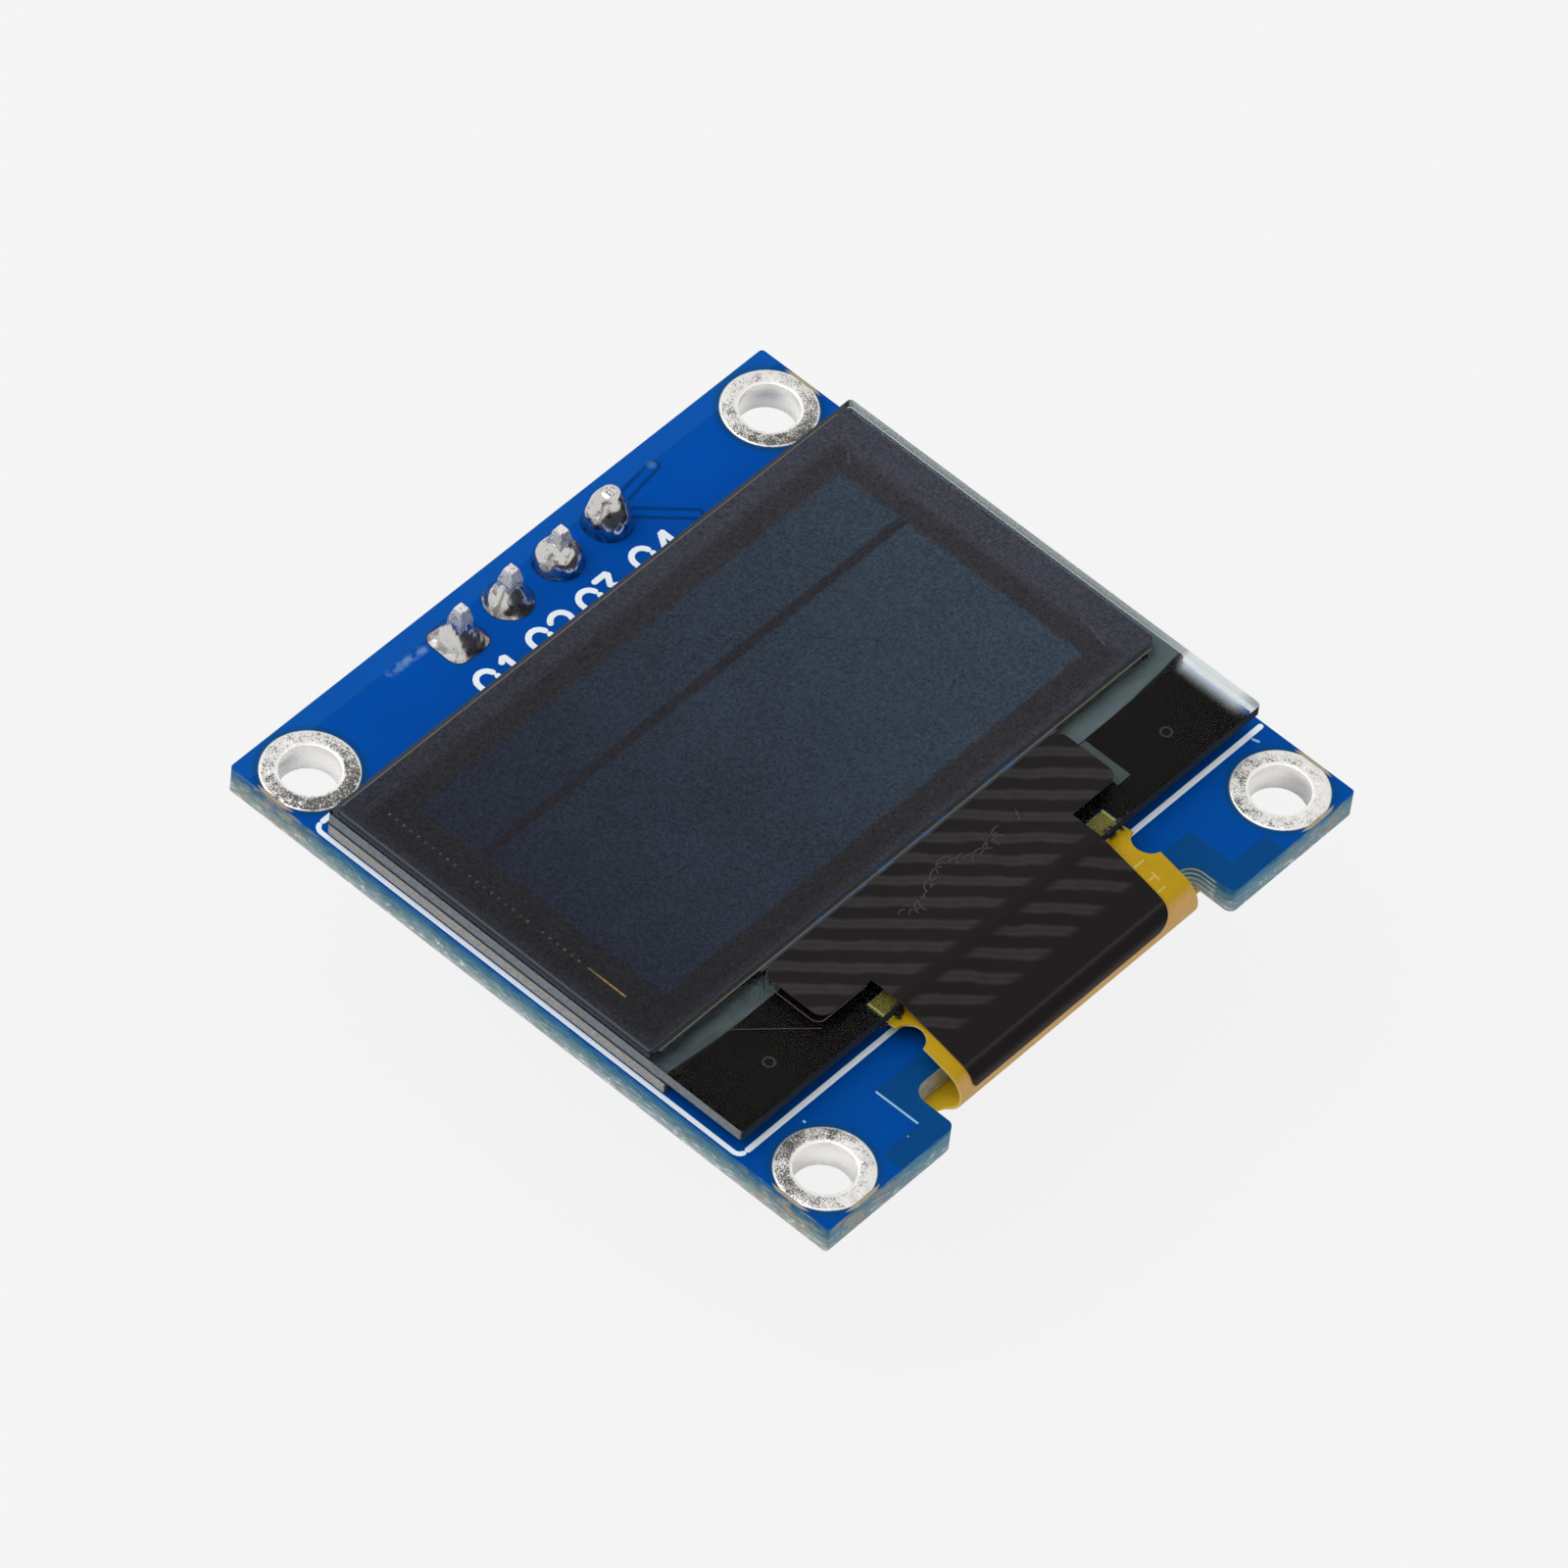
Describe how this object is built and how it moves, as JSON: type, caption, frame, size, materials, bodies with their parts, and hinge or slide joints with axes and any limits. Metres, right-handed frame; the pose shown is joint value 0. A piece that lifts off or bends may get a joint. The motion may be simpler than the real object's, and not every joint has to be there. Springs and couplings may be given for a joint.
{
  "type": "small oled display module",
  "caption": "Small display panel on a blue circuit board with plated corner holes, a soldered pin header and a flex tail folded through a notch to the back.",
  "frame": {"origin": "centre of the four corner holes, on the circuit board's display face", "axes": "+Z out of the display face, +Y toward the pin header's edge, +X from the square pad to the last round pad"},
  "size_m": [0.0272, 0.0278, 0.0114],
  "materials": {
    "board": "blue solder mask on glass-fibre laminate",
    "plating": "tinned copper, lightly speckled",
    "strip": "black moulded plastic",
    "pin": "tin-plated brass",
    "solder": "shiny solder",
    "adhesive": "white double-sided sheet",
    "glass": "clear panel glass",
    "desiccant": "grey sheet",
    "seal": "cured resin seal",
    "pixels": "dark display layers",
    "polarizer": "dark film with a fine grain",
    "die": "bare chip",
    "coat": "black coat",
    "flex": "amber polyimide",
    "resin": "dark cured resin",
    "film": "black film with diagonal ribs",
    "package": "black package with tinned legs",
    "resistor": "black chip with tinned ends",
    "capacitor": "tan chip with tinned ends"
  },
  "bodies": {
    "root": {"circuit_board": "board", "hole_plating_1": "plating", "hole_plating_2": "plating", "hole_plating_3": "plating", "hole_plating_4": "plating", "header_strip": "strip", "header_pin_1": "pin", "header_pin_2": "pin", "header_pin_3": "pin", "header_pin_4": "pin", "solder_joint_1": "solder", "solder_joint_2": "solder", "solder_joint_3": "solder", "solder_joint_4": "solder", "panel_adhesive": "adhesive", "cap_glass": "glass", "desiccant_sheet": "desiccant", "seal_frame": "seal", "pixel_layer": "pixels", "front_glass": "glass", "polarizer": "polarizer", "driver_die": "die", "ledge_coat": "coat", "flex_circuit": "flex", "edge_resin": "resin", "cover_film": "film", "tail_solder": "solder", "regulator": "package", "diode": "package", "resistor_1": "resistor", "resistor_2": "resistor", "resistor_3": "resistor", "resistor_4": "resistor", "resistor_5": "resistor", "resistor_6": "resistor", "resistor_7": "resistor", "resistor_8": "resistor", "capacitor_1": "capacitor", "capacitor_2": "capacitor", "capacitor_3": "capacitor", "capacitor_4": "capacitor", "capacitor_5": "capacitor", "capacitor_6": "capacitor", "capacitor_7": "capacitor", "capacitor_8": "capacitor", "chip_solder": "solder"}
  },
  "joints": []
}
